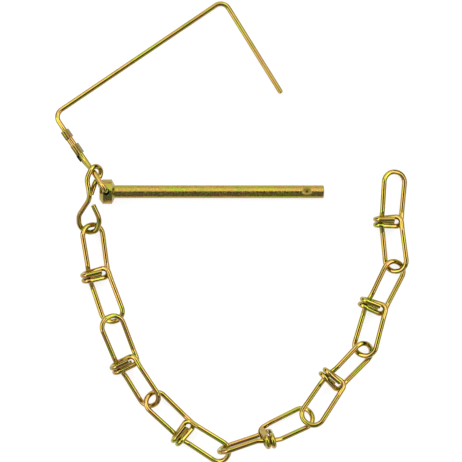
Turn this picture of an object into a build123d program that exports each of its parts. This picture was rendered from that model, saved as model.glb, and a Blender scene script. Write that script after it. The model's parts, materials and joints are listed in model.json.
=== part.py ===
from build123d import *
from math import asin, atan2, cos, degrees, radians, sin
import os

# A snapper pin lying at rest on a flat surface, in millimetres, +Z up. The locking pin points along +X,
# its square wire bail lies open on the +Y side, and its tether chain curls round on the -Y side. The
# origin is the middle of the ground that the whole thing covers. All of it is plated steel.

# Round wire of the bail, the connecting hook and the chain
wire_d = 2.5
wire_r = wire_d / 2
end_break = 0.2  # chamfer on a sheared wire end

# Locking pin: one turned piece, measured along its axis from the head's cross-hole
shank_d = 6.35
shank_length = 101.6
head_d = 12.0
head_back = 3.0  # cross-hole to the head's end face
head_front = 4.3  # cross-hole to the shoulder
back_chamfer = (1.6, 2.2)  # along the axis, towards it
shoulder_chamfer = (1.3, 2.4)
cross_hole_d = 3.6
tip_break = 0.4
dimple_reach = 97.5  # cross-hole to the dished seat for the bail's far leg
dimple_r = 6.0  # the ball that forms it
dimple_depth = 0.5
dimple_point_d = 0.8  # drill mark at its middle
dimple_point_depth = 1.1  # below the shank's top

# Wire bail, on its own plane: x along the long side, y along the two legs, z through the pin's head.
# The wire passes through the head, and both its strands run up the near leg, clamped by the sleeves.
near_corner = (0.5, 44.9)
far_corner = (100.0, 44.6)
far_tip = (97.6, -8.6)
corner_bend = 4.4
bail_tip_break = 0.6  # the far leg's end is rounded off
strand_rise = 7.45  # head's centre to a strand that lies over the head
strand_gap = 1.3  # bail's plane to each clamped strand
strand_shift = 0.35  # clamped strands lie a little askew
strand_level = 3.4  # leg's length before the strands close in
strand_closed = 19.0  # leg's length where they are together
lower_bulge = (1.3, 9.5, -5.1)  # the lower strand wanders sideways on its way
strand_end = 36.0  # the lower strand's cut end, and where the upper one turns into the corner
head_bend = 2.2
strand_bend = 4.0
closing_bend = 10.0
upper_bend = 8.0
bail_opening = 34.4  # swung away from the closed position, in degrees

# Crimp sleeves: a strap folded round both strands, with its seam open by a hair
strap_t = 0.5
strap_clearance = 0.05
sleeve_seam = 0.3
upper_sleeve = (31.1, 35.7)  # from and to, along the near leg
lower_sleeve = (21.9, 27.4)

# Connecting hook: a closed eye on the bail's upper strand and an open hook on the chain, given by the wire's
# corners from the head's centre in x and y, and their heights from the ground
hook_eye = (
    (-7.0, -1.5, 12.5),  # the cut end, closed in beside the neck and a little below it
    (-5.0, 4.5, 12.5),
    (-1.0, 9.5, 9.5),  # under the bail's strand
    (-5.5, 14.0, 15.5),
    (-9.0, 6.0, 16.0),  # over it
    (-8.0, 1.0, 16.0),
)
hook_neck = (-7.5, -3.5, 15.0)
open_hook = (
    (-13.0, -11.5, 9.0),
    (-13.0, -16.5, 6.0),
    (-9.0, -20.0, 4.0),  # through the chain's first loop
    (-4.5, -19.0, 7.5),
    (-2.5, -14.0, 9.5),
    (-6.0, -6.5, 12.0),  # the other cut end
)
hook_bends = (5, 3, 3.5, 7, 10, 6, 7, 6, 3.5, 4, 8)

# Double-loop link: the wire's two ends are each knotted round its long side at the middle
link_reach = 24.2  # knot to the end of each loop, on the wire's centre line
loop_half = 5.65
knot_half = 5.25
loop_end_bend = 5.2
link_bend = 5.5  # each loop leans away from the knot, in degrees
link_twist = 25  # and the two are twisted apart
throat = (5.0, 4.6)  # knot to the start of each loop, on its long side and on its wrapped side
throat_bend = 6
wrap_points = ((-2.4, -4.7, -1.3), (-1.75, 7.7, 3.4), (-1.05, 7.7, -3.3), (-1.0, -1.6, -3.1))
wrap_radii = (3, 2.6, 2.6)
spine_side = 5.0  # the long side, where the wraps go round it
spine_bend = 8

# How the chain lies: each knot from the cross-hole in x and y, the way its link runs from hook to free
# end (degrees from -Y towards +X), its roll about that way, and its pitch, free end up
chain_lay = (
    (-3.5, -40.0, 14, 5, -3.5),
    (10.5, -83.0, 27, -10, -6.0),
    (38.5, -115.5, 52, 0, 0.5),
    (78.0, -118.0, 112, 54, -4.5),
    (111.0, -92.0, 141, 165, -5.5),
    (131.0, -56.0, 159, 175, -1.5),
    (138.5, -14.5, 181, 180, -1.0),
)

# The head's cross-hole: its place centres the whole on the origin
head_x = -61.2
head_y = 19.75
head_z = strand_rise + wire_r
head_centre = Vector(head_x, head_y, head_z)

# The pin droops to its tip, and the bail to its far leg, both of which touch the ground
pin_droop = degrees(asin((head_z - shank_d / 2) / (head_front + shank_length)))
bail_droop = degrees(asin((head_z - wire_r) / far_corner[0]))

pin_plane = Plane(Location(head_centre, (90, 0, -pin_droop)))
hole_plane = Plane(Location(head_centre, (0, pin_droop, 0)))
bail_plane = Plane(Location(head_centre, (0, bail_droop, bail_opening), Extrinsic.XYZ))


def bent_wire(points, radii, plane, last_break=end_break):
    """Round wire along straight runs joined by arcs, drawn on a plane, with both cut ends broken."""
    with BuildPart() as wire:
        with BuildLine(plane) as line:
            FilletPolyline(*points, radius=radii)
        path = line.wire()
        with BuildSketch(Plane(origin=path @ 0, z_dir=path % 0)):
            Circle(wire_r)
        sweep(path=path)
        first, last = wire.faces().filter_by(GeomType.PLANE).sort_by_distance(path @ 0)
        chamfer(first.edges(), end_break)
        chamfer(last.edges(), last_break)
    return wire


# Locking pin
with BuildPart() as locking_pin:
    with BuildSketch(pin_plane):
        with BuildLine():
            Polyline(
                (-head_back, 0),
                (-head_back, head_d / 2 - back_chamfer[1]),
                (-head_back + back_chamfer[0], head_d / 2),
                (head_front - shoulder_chamfer[0], head_d / 2),
                (head_front, head_d / 2 - shoulder_chamfer[1]),
                (head_front, shank_d / 2),
                (head_front + shank_length - tip_break, shank_d / 2),
                (head_front + shank_length, shank_d / 2 - tip_break),
                (head_front + shank_length, 0),
                close=True,
            )
        make_face()
    revolve(axis=Axis(head_centre, pin_plane.x_dir))
    with Locations(hole_plane):
        Hole(cross_hole_d / 2)
    dimple_plane = hole_plane * Location((dimple_reach, 0, shank_d / 2))
    with Locations(dimple_plane):
        Hole(dimple_point_d / 2, depth=dimple_point_depth)
    with Locations(dimple_plane * Location((0, 0, dimple_r - dimple_depth))):
        Sphere(dimple_r, mode=Mode.SUBTRACT)
locking_pin.part.label = "locking_pin"

# Wire bail: from the cut end on the near leg down the lower strand, through the head and round
lower_strand = (
    (-strand_shift, strand_end, -strand_gap),
    (-strand_shift, strand_closed, -strand_gap),
    lower_bulge,
    (0, strand_level, -strand_rise),
    (0, 0, -strand_rise),
)
upper_strand = (
    (0, 0, strand_rise),
    (0, strand_level, strand_rise),
    (strand_shift, strand_closed, strand_gap),
    (strand_shift, strand_end + 1.0, strand_gap),
)
bail_frame = ((*near_corner, 0), (*far_corner, 0), (*far_tip, 0))
lower_radii = (closing_bend, closing_bend, strand_bend, head_bend)
upper_radii = (head_bend, strand_bend, closing_bend, upper_bend, corner_bend, corner_bend)
bail_points = lower_strand + upper_strand + bail_frame
wire_bail = bent_wire(bail_points, lower_radii + upper_radii, bail_plane, bail_tip_break)
wire_bail.part.label = "wire_bail"


def crimp_sleeve(along):
    """Strap folded round the two clamped strands over a stretch of the near leg."""
    start, end = along
    middle = bail_plane * Location((0, start, 0), (90, 0, 0))
    strands = 2 * Vector(strand_shift, strand_gap).length
    tilt = degrees(atan2(strand_gap, strand_shift))
    bore_d = wire_d + 2 * strap_clearance
    with BuildPart() as sleeve:
        with BuildSketch(Plane(middle)):
            SlotCenterToCenter(strands, bore_d + 2 * strap_t, rotation=tilt)
            SlotCenterToCenter(strands, bore_d, rotation=tilt, mode=Mode.SUBTRACT)
            with Locations((-bore_d / 2, strand_gap / 2)):
                Rectangle(2 * strap_t + bore_d / 2, sleeve_seam, rotation=tilt, mode=Mode.SUBTRACT)
        extrude(amount=start - end)
    return sleeve


upper_crimp_sleeve = crimp_sleeve(upper_sleeve)
upper_crimp_sleeve.part.label = "upper_crimp_sleeve"
lower_crimp_sleeve = crimp_sleeve(lower_sleeve)
lower_crimp_sleeve.part.label = "lower_crimp_sleeve"

# Connecting hook
hook_plane = Plane((head_x, head_y, 0))
hook_points = (*hook_eye, hook_neck, *open_hook)
connecting_hook = bent_wire(hook_points, hook_bends, hook_plane)
connecting_hook.part.label = "connecting_hook"


def loop_point(reach, side):
    """A point on the link's first loop, which leans by the bend and turns by the twist."""
    lean, turn = radians(link_bend), radians(link_twist)
    across = side * cos(turn)
    return (reach * cos(lean) + across * sin(lean), across * cos(lean) - reach * sin(lean), side * sin(turn))


def turned_over(point):
    """The same point after half a turn about the link's y axis, its one axis of symmetry."""
    return (-point[0], point[1], -point[2])


# Half of the link's wire: from the middle of the long side round the first loop and into its wrap
half_link = (
    loop_point(throat[0], knot_half),
    loop_point(link_reach, loop_half),
    loop_point(link_reach, -loop_half),
    loop_point(throat[1], -knot_half),
) + wrap_points
half_radii = (throat_bend, loop_end_bend, loop_end_bend, throat_bend) + wrap_radii
link_points = half_link[::-1] + ((0, spine_side, 0),) + tuple(turned_over(p) for p in half_link)
link_radii = half_radii[::-1] + (spine_bend,) + half_radii


def link_plane(lay, height):
    """The link's own plane where it lies, with its x towards the hook's end of the chain."""
    x, y, heading, roll, pitch = lay
    return Plane(
        Location((head_x + x, head_y + y, height), (roll, pitch, 90 + heading), Extrinsic.XYZ)
    )


chain = []
for number, lay in enumerate(chain_lay, start=1):
    with BuildLine(link_plane(lay, 0)) as trial:
        FilletPolyline(*link_points, radius=link_radii)
    lift = wire_r - trial.wire().bounding_box().min.Z  # each link rests on the ground
    chain_link = bent_wire(link_points, link_radii, link_plane(lay, lift))
    chain_link.part.label = f"chain_link_{number}"
    chain.append(chain_link)

os.makedirs("parts", exist_ok=True)
for piece in (locking_pin, wire_bail, upper_crimp_sleeve, lower_crimp_sleeve, connecting_hook, *chain):
    export_step(piece.part, f"parts/{piece.part.label}.step")
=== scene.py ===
import json
import math

import bmesh
import bpy
from mathutils import Matrix, Vector


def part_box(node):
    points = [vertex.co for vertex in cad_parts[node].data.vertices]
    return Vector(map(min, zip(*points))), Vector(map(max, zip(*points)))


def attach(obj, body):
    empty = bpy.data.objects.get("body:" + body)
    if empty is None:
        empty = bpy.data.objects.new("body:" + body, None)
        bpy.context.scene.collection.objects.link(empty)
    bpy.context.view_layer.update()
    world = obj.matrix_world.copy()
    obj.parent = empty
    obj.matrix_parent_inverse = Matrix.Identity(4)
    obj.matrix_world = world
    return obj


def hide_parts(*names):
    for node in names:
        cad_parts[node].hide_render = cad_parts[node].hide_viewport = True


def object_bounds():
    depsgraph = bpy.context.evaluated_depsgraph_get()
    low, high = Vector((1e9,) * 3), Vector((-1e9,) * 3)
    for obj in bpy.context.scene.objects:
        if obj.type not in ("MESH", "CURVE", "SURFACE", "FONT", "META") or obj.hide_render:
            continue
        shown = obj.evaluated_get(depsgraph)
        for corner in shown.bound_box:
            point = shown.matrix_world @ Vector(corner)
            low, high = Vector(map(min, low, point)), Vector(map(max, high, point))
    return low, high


# A snapper pin lying on a pale floor, seen from straight above. Its bail is open and its tether chain
# curls round below it. All of it is steel with a yellow chromate finish. Metres, in the frame's own place.

mm = 0.001
tiny = 0.001 * mm

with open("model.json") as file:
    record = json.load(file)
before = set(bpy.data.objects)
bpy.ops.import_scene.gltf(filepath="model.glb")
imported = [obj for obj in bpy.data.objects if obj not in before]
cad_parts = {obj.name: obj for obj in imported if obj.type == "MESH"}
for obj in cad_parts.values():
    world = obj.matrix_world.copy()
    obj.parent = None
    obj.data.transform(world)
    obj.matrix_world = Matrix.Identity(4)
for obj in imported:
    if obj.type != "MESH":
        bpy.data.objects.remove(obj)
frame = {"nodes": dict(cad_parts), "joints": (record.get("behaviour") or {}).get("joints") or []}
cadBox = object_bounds()
nodes = frame["nodes"]
scene = bpy.context.scene
scene.view_settings.view_transform = "Standard"
print("frame loaded:", len(nodes), "nodes")


def linear(hexColour):
    # From sRGB hex to the linear colour that shaders take
    values = [int(hexColour[i:i + 2], 16) / 255 for i in (0, 2, 4)]
    return tuple(v / 12.92 if v <= 0.04045 else ((v + 0.055) / 1.055) ** 2.4 for v in values) + (1.0,)


# A camera on a stand, looking straight down
cameraSpec = {
    "centre": (-0.48 * mm, 0.71 * mm),
    "height": 5 * mm,  # of the level that it is set for, just over the chain
    "shown": 224.07 * mm,  # how much of that level fits across the frame
    "distance": 2.4,
    "clipEnd": 10,
}

bpy.ops.object.camera_add(
    location=(*cameraSpec["centre"], cameraSpec["height"] + cameraSpec["distance"]), rotation=(0, 0, 0)
)
camera = bpy.context.object
camera.data.lens = camera.data.sensor_width * cameraSpec["distance"] / cameraSpec["shown"]
camera.data.clip_end = cameraSpec["clipEnd"]
scene.camera = camera
print("camera done")

filmNoise = {"Detail": 3.0, "Distortion": 0.8}
grainNoise = {"Detail": 4.0, "Roughness": 0.65}
noiseSpan = {"From Min": 0.3, "From Max": 0.7}  # nearly all of a noise lies between these
clearSeal = {"Coat Roughness": 0.03, "Coat IOR": 1.6}


def addNode(tree, kind, settings=None, links=None):
    # Inputs go by name or number. A setting that is no input is one of the node's own properties.
    node = tree.nodes.new(kind)
    for name, value in (settings or {}).items():
        if isinstance(name, int) or name in node.inputs:
            node.inputs[name].default_value = value
        else:
            setattr(node, name, value)
    for name, source in (links or {}).items():
        tree.links.new(source, node.inputs[name])
    return node


def dullDishPaintedShade(tree, dish, place, roughness, colour):
    # Within the dish the film is duller, and its tint is darkened as painted shade for the hollow. The drill
    # mark at its middle is painted nearly black as painted shade for the pit.
    away = addNode(
        tree, "ShaderNodeVectorMath", {"operation": "DISTANCE", 1: dish["middle"]}, {0: place}
    ).outputs["Value"]
    inside = addNode(
        tree, "ShaderNodeMapRange",
        {"From Min": dish["rim"][0], "From Max": dish["rim"][1], "To Min": 1.0, "To Max": 0.0},
        {"Value": away},
    ).outputs["Result"]
    # Painted shade in the drill mark: near black at its middle, fading out at its rim
    paintedShadeLevel = addNode(
        tree, "ShaderNodeMapRange",
        {
            "From Min": dish["mark"][0], "From Max": dish["mark"][1],
            "To Min": dish["pitShadeTone"], "To Max": 1.0,
        },
        {"Value": away},
    ).outputs["Result"]
    rougher = addNode(
        tree, "ShaderNodeMath", {"operation": "MULTIPLY_ADD", 1: dish["duller"]}, {0: inside, 2: roughness}
    ).outputs[0]
    # Painted shade in the dish: its whole hollow takes a darker tint
    # Inputs 6 and 7 and output 2 of this node are its colours
    shadedDishTint = addNode(
        tree, "ShaderNodeMix", {"data_type": "RGBA", 7: linear(dish["colour"])}, {0: inside, 6: colour}
    ).outputs[2]
    pitShadeColour = addNode(tree, "ShaderNodeVectorMath", {"operation": "SCALE"}, {0: shadedDishTint, "Scale": paintedShadeLevel})
    return rougher, pitShadeColour.outputs["Vector"]


def chromateSteel(name, spec):
    material = bpy.data.materials.new(name)
    material.use_nodes = True
    tree = material.node_tree
    tree.nodes.clear()
    place = addNode(tree, "ShaderNodeTexCoord").outputs["Object"]

    # The film drifts between yellow-green, gold and copper pink as its thickness changes
    stretched = addNode(
        tree, "ShaderNodeMapping", {"Scale": spec["stretch"]}, {"Vector": place}
    ).outputs["Vector"]
    film = addNode(
        tree, "ShaderNodeTexNoise", {"Scale": 1 / spec["patch"], **filmNoise}, {"Vector": stretched}
    ).outputs["Fac"]
    ramp = addNode(tree, "ShaderNodeValToRGB", links={"Fac": film})
    stops = ramp.color_ramp.elements
    stops.remove(stops[1])
    for i, (at, tint) in enumerate(spec["tints"]):
        stop = stops[0] if i == 0 else stops.new(at)
        stop.position = at
        stop.color = linear(tint)

    # Grain from drawing or turning, and fine pits left by the plating bath, vary its gloss and its tone
    grain = addNode(
        tree, "ShaderNodeTexNoise", {"Scale": 1 / spec["grain"], **grainNoise}, {"Vector": place}
    ).outputs["Fac"]
    roughness = addNode(
        tree, "ShaderNodeMapRange",
        {**noiseSpan, "To Min": spec["roughness"][0], "To Max": spec["roughness"][1]},
        {"Value": grain},
    ).outputs["Result"]
    mottle = addNode(
        tree, "ShaderNodeMapRange",
        {**noiseSpan, "To Min": 1 - spec["mottle"], "To Max": 1 + spec["mottle"]},
        {"Value": grain},
    ).outputs["Result"]
    colour = addNode(
        tree, "ShaderNodeVectorMath", {"operation": "SCALE"}, {0: ramp.outputs["Color"], "Scale": mottle}
    ).outputs["Vector"]
    if "dish" in spec:
        roughness, colour = dullDishPaintedShade(tree, spec["dish"], place, roughness, colour)
    bump = addNode(
        tree, "ShaderNodeBump", {"Strength": spec["bump"], "Distance": spec["relief"]}, {"Height": grain}
    ).outputs["Normal"]
    shader = addNode(
        tree, "ShaderNodeBsdfPrincipled", {"Metallic": 1.0, "Coat Weight": spec["seal"], **clearSeal},
        {"Base Color": colour, "Roughness": roughness, "Normal": bump},
    )
    addNode(tree, "ShaderNodeOutputMaterial", links={"Surface": shader.outputs["BSDF"]})
    return material


# Drawn steel wire, bright zinc under a yellow chromate and a clear seal: drifting tints and a sharp gloss
wireFinish = {
    "patch": 9 * mm,  # from one tint to the next
    "stretch": (1, 1, 1),
    "grain": 0.6 * mm,  # coarser than the real one so that it shows
    "roughness": (0.03, 0.08),
    "mottle": 0.12,
    "bump": 0.2,
    "relief": 0.02 * mm,
    "seal": 0.6,
    "tints": ((0.30, "A0A81C"), (0.43, "B4A828"), (0.51, "C4944A"), (0.58, "B49C2C"), (0.70, "98981C")),
}

# How the pin lies: the middle of its head is on the bail's hinge, and its tip droops to the floor
pinSpec = {
    "hinge": Vector(next(joint for joint in frame["joints"] if joint["name"] == "bail_swing")["pos_m"]),
    "droop": math.radians(2.99),
    "dish": Vector((97.5 * mm, 0, 2.6 * mm)),  # along the pin and up from the head's middle
}
pinTurn = Matrix.Rotation(pinSpec["droop"], 3, "Y")

# Turned bar, plated the same way: long streaks along it, a coarser grain and a softer gloss. The rims of the
# dish and of its drill mark fade from the first radius to the second.
barFinish = {
    "patch": 3.2 * mm,
    "stretch": (0.16, 1, 1),
    "grain": 0.9 * mm,
    "roughness": (0.08, 0.44),
    "mottle": 0.22,
    "bump": 0.8,
    "relief": 0.06 * mm,
    "seal": 0.25,
    "dish": {
        "middle": pinSpec["hinge"] + pinTurn @ pinSpec["dish"],
        "rim": (2.1 * mm, 2.625 * mm),
        "duller": 0.3,
        # painted shade: the darker tint that fills the dish
        "colour": "A08834",
        # painted shade: the drill mark is darkened to this share of its colour, fading out between the
        # mark's two radii
        "mark": (0.5 * mm, 0.65 * mm),
        "pitShadeTone": 0.05,
    },
    "tints": ((0.32, "A2AA2C"), (0.43, "B6A434"), (0.51, "C0904C"), (0.58, "B29C3C"), (0.68, "9AA63A")),
}

# Steel strap, plated the same way and scuffed by the crimping tool: darker, uneven and half dull
strapFinish = {
    **wireFinish,
    "patch": 3 * mm,
    "grain": 0.5 * mm,
    "roughness": (0.06, 0.24),
    "mottle": 0.4,
    "bump": 1.0,
    "seal": 0.2,
    "tints": ((0.32, "848C20"), (0.43, "8C7424"), (0.51, "A07444"), (0.58, "80702C"), (0.68, "64641C")),
}

# Painted shadow: near black and matt, with no seal, for the tongue that stands for the shade below the lower
# sleeve
shadowTongueFinish = {
    **strapFinish,
    "roughness": (0.45, 0.65),
    "seal": 0.0,
    "tints": ((0.35, "241C12"), (0.50, "382A18"), (0.65, "1C1810")),
}

wireMaterial = chromateSteel("yellowChromateWire", wireFinish)
barMaterial = chromateSteel("yellowChromateBar", barFinish)
strapMaterial = chromateSteel("yellowChromateStrap", strapFinish)
shadowTongueMaterial = chromateSteel("blackenedShearedSteel", shadowTongueFinish)

for name, node in nodes.items():
    node.data.materials.clear()
    node.data.materials.append(barMaterial if name == "locking_pin" else wireMaterial)
print("plated finishes done")

# The bail's near leg, which carries both crimp sleeves and has two strands
legSpec = {
    "turn": math.radians(34.4),  # the bail's swing away from the shank
    "droop": math.radians(4.27),
    "strandShift": 0.35 * mm,  # each strand from the leg's middle, sideways and upwards
    "strandRise": 1.3 * mm,
}
legFrame = Matrix.Rotation(legSpec["turn"], 3, "Z") @ Matrix.Rotation(legSpec["droop"], 3, "Y")

# A crimp sleeve is a short strap folded round both strands. It has a rolled fold standing out on the
# north-east side, where it is pinched together, and ridges that the crimping tool pressed in.
strapSpec = {
    "bore": 1.3 * mm,  # its radius, a hair more than the wire's
    "wall": 0.32 * mm,
    "sides": 48,
    "rows": 7,
    "rib": 0.12 * mm,  # how far the pressed ridges stand up
    "ribsAt": (40, 68, 96, 124, 152),  # degrees round the strap, 0 at the fold
    "ribNear": 0.995,  # a face belongs to a ridge where the cosine between them is over this
    "foldSpan": (-0.6 * mm, 1.5 * mm),
    "foldSteps": ((0.34 * mm, 0.95), (0.22 * mm, 0.8)),  # how far it stands out, and how much of it goes on
    "foldEnds": 0.97,
    "dent": 0.045 * mm,
    "dentEvenness": 0.3,
    "edgeBreak": 0.05 * mm,
    "brokenFrom": 32,  # degrees
    "smoothTo": 38,
}
upperStrap = {**strapSpec, "length": 4.6 * mm, "seed": 3}
lowerStrap = {**strapSpec, "length": 5.5 * mm, "seed": 8}


def nothingSelected():
    bpy.ops.object.select_all(action="DESELECT")


def pick(thing, parts, wanted):
    # In edit mode: choose the "verts" or "faces" that are wanted, and nothing else
    bpy.ops.mesh.select_all(action="DESELECT")
    shape = bmesh.from_edit_mesh(thing.data)
    for part in getattr(shape, parts):
        if wanted(part):
            part.select_set(True)
    shape.select_flush_mode()
    bmesh.update_edit_mesh(thing.data)


def breakEdges(thing, spec):
    soft = thing.modifiers.new("softEdges", "BEVEL")
    soft.width = spec["edgeBreak"]
    soft.segments = 2
    soft.angle_limit = math.radians(spec["brokenFrom"])
    bpy.ops.object.modifier_apply(modifier=soft.name)
    bpy.ops.object.shade_smooth_by_angle(angle=math.radians(spec["smoothTo"]))


def crimpedStrap(name, node, spec):
    tilt = math.atan2(legSpec["strandRise"], legSpec["strandShift"])
    half = math.hypot(legSpec["strandShift"], legSpec["strandRise"])
    apart = Vector((math.cos(tilt), math.sin(tilt), 0))
    nothingSelected()
    bpy.ops.mesh.primitive_cylinder_add(
        vertices=spec["sides"], radius=spec["bore"], depth=spec["length"],
        end_fill_type="NOTHING", location=(0, 0, 0),
    )
    strap = bpy.context.object
    strap.name = name

    # Pull the tube out into a slot that takes both strands, then cut it into rows
    bpy.ops.object.mode_set(mode="EDIT")
    for way in (1, -1):
        pick(strap, "verts", lambda corner: way * corner.co.dot(apart) > tiny)
        bpy.ops.transform.translate(value=way * half * apart)
    bpy.ops.mesh.select_all(action="DESELECT")
    shape = bmesh.from_edit_mesh(strap.data)
    for edge in shape.edges:
        edge.select_set(abs(edge.verts[0].co.z - edge.verts[1].co.z) > spec["length"] / 2)
    bmesh.update_edit_mesh(strap.data)
    bpy.ops.mesh.subdivide(number_cuts=spec["rows"] - 1)
    bpy.ops.mesh.select_all(action="SELECT")
    bpy.ops.mesh.normals_make_consistent(inside=False)
    bpy.ops.object.mode_set(mode="OBJECT")

    wall = strap.modifiers.new("wall", "SOLIDIFY")
    wall.thickness = spec["wall"]
    wall.offset = 1.0
    bpy.ops.object.modifier_apply(modifier=wall.name)

    midWall = spec["bore"] + 0.5 * spec["wall"]

    def around(point):
        # From the nearer strand's middle to the point, as seen along the strap
        near = point - max(-half, min(half, point.dot(apart))) * apart
        return Vector((near.x, near.y))

    def onRib(face, ray):
        out = around(face.calc_center_median())
        sideways = abs(face.normal.z) < 0.3
        facesOut = out.length > midWall and out.dot(face.normal.xy) > 0
        return sideways and facesOut and out.normalized().dot(ray) > spec["ribNear"]

    def onFold(face):
        middle = face.calc_center_median()
        start, end = spec["foldSpan"]
        return face.normal.x > 0.9 and middle.x > midWall and start < middle.y < end

    # Ridges run along the strap, and the fold stands out on its north-east side
    bpy.ops.object.mode_set(mode="EDIT")
    for ribAt in spec["ribsAt"]:
        ray = Vector((math.cos(math.radians(ribAt)), math.sin(math.radians(ribAt))))
        pick(strap, "faces", lambda face: onRib(face, ray))
        bpy.ops.mesh.extrude_region_shrink_fatten(TRANSFORM_OT_shrink_fatten={"value": -spec["rib"]})
    for reach, keep in spec["foldSteps"]:
        pick(strap, "faces", onFold)
        bpy.ops.mesh.extrude_region_move(TRANSFORM_OT_translate={"value": (reach, 0, 0)})
        bpy.ops.transform.resize(value=(1, keep, spec["foldEnds"]))
    bpy.ops.mesh.select_all(action="SELECT")
    bpy.ops.mesh.remove_doubles(threshold=tiny)
    bpy.ops.mesh.normals_make_consistent(inside=False)
    pick(strap, "verts", lambda corner: around(corner.co).length > midWall)
    bpy.ops.transform.vertex_random(offset=spec["dent"], uniform=spec["dentEvenness"], seed=spec["seed"])
    bpy.ops.object.mode_set(mode="OBJECT")
    breakEdges(strap, spec)

    # Set it on the leg where its node is
    low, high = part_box(node)
    middle = (Vector(low) + Vector(high)) / 2
    stand = legFrame @ Matrix.Rotation(math.radians(-90), 3, "X")
    strap.matrix_world = Matrix.Translation(middle) @ stand.to_4x4()
    bpy.ops.object.transform_apply(location=True, rotation=True, scale=True)
    strap.data.materials.clear()
    strap.data.materials.append(strapMaterial)
    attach(strap, "bail")
    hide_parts(node)


crimpedStrap("upper_strap", "upper_crimp_sleeve", upperStrap)
crimpedStrap("lower_strap", "lower_crimp_sleeve", lowerStrap)

# A black tongue pokes out below the lower sleeve, along the leg: a dark piece put where there is only shade,
# a painted shadow
shadowTongueSpec = {
    "size": (0.85 * mm, 3.3 * mm, 0.42 * mm),
    "at": (-1.65 * mm, -4.3 * mm, 0.3 * mm),  # from the sleeve's middle
    "curl": 0.35 * mm,
    "bends": ((0.24, 0.4), (0.49, 1.0)),  # how far towards the tip, and the share of the curl added there
    "narrowing": (0.8, 1, 0.85),
    "cuts": 3,
    "dent": 0.05 * mm,
    "dentEvenness": 0.2,
    "seed": 5,
    "edgeBreak": 0.06 * mm,
    "brokenFrom": 30,  # degrees
    "smoothTo": 40,
}


def blackShadowTongue(name, spec):
    nothingSelected()
    bpy.ops.mesh.primitive_cube_add(size=1, location=(0, 0, 0))
    tongue = bpy.context.object
    tongue.name = name
    bpy.ops.object.mode_set(mode="EDIT")
    bpy.ops.transform.resize(value=spec["size"])
    bpy.ops.mesh.subdivide(number_cuts=spec["cuts"])
    for share, lift in spec["bends"]:
        pick(tongue, "verts", lambda corner: corner.co.y < -share * spec["size"][1])
        bpy.ops.transform.resize(value=spec["narrowing"])
        bpy.ops.transform.translate(value=(0, 0, -lift * spec["curl"]))
    bpy.ops.mesh.select_all(action="SELECT")
    bpy.ops.transform.vertex_random(offset=spec["dent"], uniform=spec["dentEvenness"], seed=spec["seed"])
    bpy.ops.object.mode_set(mode="OBJECT")
    breakEdges(tongue, spec)
    low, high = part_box("lower_crimp_sleeve")
    middle = (Vector(low) + Vector(high)) / 2 + legFrame @ Vector(spec["at"])
    tongue.matrix_world = Matrix.Translation(middle) @ legFrame.to_4x4()
    bpy.ops.object.transform_apply(location=True, rotation=True, scale=True)
    # Painted shadow: the tongue is near black and matt
    tongue.data.materials.append(shadowTongueMaterial)
    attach(tongue, "bail")


blackShadowTongue("strap_tongue", shadowTongueSpec)
print("crimp sleeves done")

floorSpec = {
    "size": 6.0,
    "gap": 0.02 * mm,  # it lies this far below the metal
    "colour": "989898",
    "glow": 0.82,  # what the camera sees of its own white
    "mirrored": 0.8,  # the share of it that the metal picks up
    "shade": (2.0 * mm, 2.7 * mm),  # painted shade: the spot below the head's cross-hole is darkened, and fades between these
}


def whiteCard(spec):
    # Matt card that the camera sees white all round the metal, and that still takes its shadow
    material = bpy.data.materials.new("whiteCard")
    material.use_nodes = True
    tree = material.node_tree
    tree.nodes.clear()
    place = addNode(tree, "ShaderNodeTexCoord").outputs["Object"]
    # Painted shade: below the head's cross-hole the floor's glow and colour are darkened, fading out between
    # the two radii
    belowHole = pinSpec["hinge"] - pinSpec["hinge"].z * Vector((math.tan(pinSpec["droop"]), 0, 1))
    away = addNode(
        tree, "ShaderNodeVectorMath", {"operation": "DISTANCE", 1: belowHole}, {0: place}
    ).outputs["Value"]
    paintedShadeLevel = addNode(
        tree, "ShaderNodeMapRange", {"From Min": spec["shade"][0], "From Max": spec["shade"][1]},
        {"Value": away},
    ).outputs["Result"]

    rays = addNode(tree, "ShaderNodeLightPath").outputs
    byMetal = addNode(
        tree, "ShaderNodeMath", {"operation": "MAXIMUM"},
        {0: rays["Is Glossy Ray"], 1: rays["Is Transmission Ray"]},
    ).outputs[0]
    fainter = addNode(
        tree, "ShaderNodeMath", {"operation": "MULTIPLY", 1: spec["mirrored"]}, {0: byMetal}
    ).outputs[0]
    seen = addNode(
        tree, "ShaderNodeMath", {"operation": "MAXIMUM"}, {0: rays["Is Camera Ray"], 1: fainter}
    ).outputs[0]
    glowing = addNode(
        tree, "ShaderNodeMath", {"operation": "MULTIPLY", 1: spec["glow"]}, {0: paintedShadeLevel}
    ).outputs[0]
    strength = addNode(
        tree, "ShaderNodeMath", {"operation": "MULTIPLY"}, {0: seen, 1: glowing}
    ).outputs[0]
    tone = addNode(
        tree, "ShaderNodeVectorMath", {"operation": "SCALE", 0: linear(spec["colour"])[:3]},
        {"Scale": paintedShadeLevel},
    ).outputs["Vector"]
    card = addNode(tree, "ShaderNodeBsdfDiffuse", links={"Color": tone}).outputs[0]
    glow = addNode(tree, "ShaderNodeEmission", links={"Strength": strength}).outputs[0]
    both = addNode(tree, "ShaderNodeAddShader", links={0: card, 1: glow}).outputs[0]
    addNode(tree, "ShaderNodeOutputMaterial", links={"Surface": both})
    return material


bpy.ops.mesh.primitive_plane_add(size=floorSpec["size"], location=(0, 0, cadBox[0][2] - floorSpec["gap"]))
floor = bpy.context.object
floor.name = "floor"
floor.data.materials.append(whiteCard(floorSpec))
print("floor done")

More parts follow.
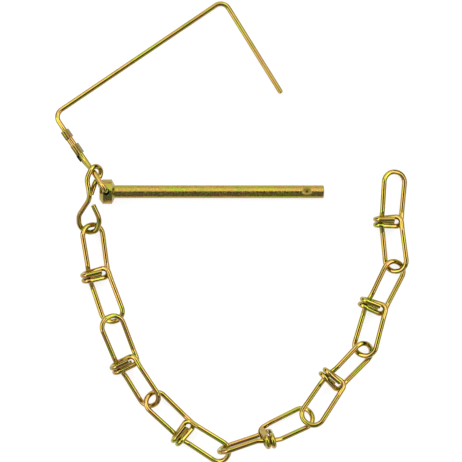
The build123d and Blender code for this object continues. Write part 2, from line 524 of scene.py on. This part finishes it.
# Each softbox leans over the table, from one angle off the zenith to another, on the side that is so many
# degrees anticlockwise from north, and shows as one stripe along a wire. There is none straight overhead
# and only weak ones on the south, so each wire has dark lines too.
softboxes = (
    {"name": "northBox", "side": 0, "angles": (10, 84), "width": 2.6, "radiance": 1.2},
    {"name": "northEastBox", "side": -50, "angles": (24, 62), "width": 1.7, "radiance": 1.45},
    {"name": "northWestBox", "side": 48, "angles": (26, 60), "width": 1.5, "radiance": 1.1},
    {"name": "westStrip", "side": 97, "angles": (30, 52), "width": 1.8, "radiance": 2.7},
    {"name": "westBox", "side": 97, "angles": (53, 82), "width": 1.8, "radiance": 1.3},
    {"name": "eastStrip", "side": -97, "angles": (34, 56), "width": 1.8, "radiance": 2.5},
    {"name": "southWestFill", "side": 140, "angles": (30, 80), "width": 1.2, "radiance": 0.5},
    {"name": "southEastFill", "side": -145, "angles": (50, 80), "width": 1.2, "radiance": 0.6},
    {
        "name": "southFill", "side": 180, "angles": (10, 80), "width": 1.0, "radiance": 0.32,
        "colour": "B4BCF0",
    },
)
boxDistance = 2.5  # from the table's middle
north = Vector((0, 1, 0))
up = Vector((0, 0, 1))

for softbox in softboxes:
    side = Matrix.Rotation(math.radians(softbox["side"]), 3, "Z") @ north
    near, far = (
        boxDistance * (math.sin(math.radians(a)) * side + math.cos(math.radians(a)) * up)
        for a in softbox["angles"]
    )
    middle = (near + far) / 2
    length = (far - near).length
    bpy.ops.object.light_add(type="AREA", location=middle)
    lamp = bpy.context.object
    lamp.name = softbox["name"]
    lamp.data.shape = "RECTANGLE"
    lamp.data.size, lamp.data.size_y = softbox["width"], length
    lamp.data.color = linear(softbox.get("colour", "FFFFFF"))[:3]
    lamp.data.energy = softbox["radiance"] * math.pi * softbox["width"] * length
    along = (far - near).normalized()
    facing = (-middle - (-middle).dot(along) * along).normalized()
    across = along.cross(-facing)
    lamp.rotation_euler = Matrix((across, along, -facing)).transposed().to_euler()

roomLight = {"colour": "60688C", "strength": 0.26}  # dim and bluish, from the room's far walls

world = bpy.data.worlds.new("studio")
scene.world = world
world.use_nodes = True
background = world.node_tree.nodes["Background"]
background.inputs["Color"].default_value = linear(roomLight["colour"])
background.inputs["Strength"].default_value = roomLight["strength"]
print("light done")
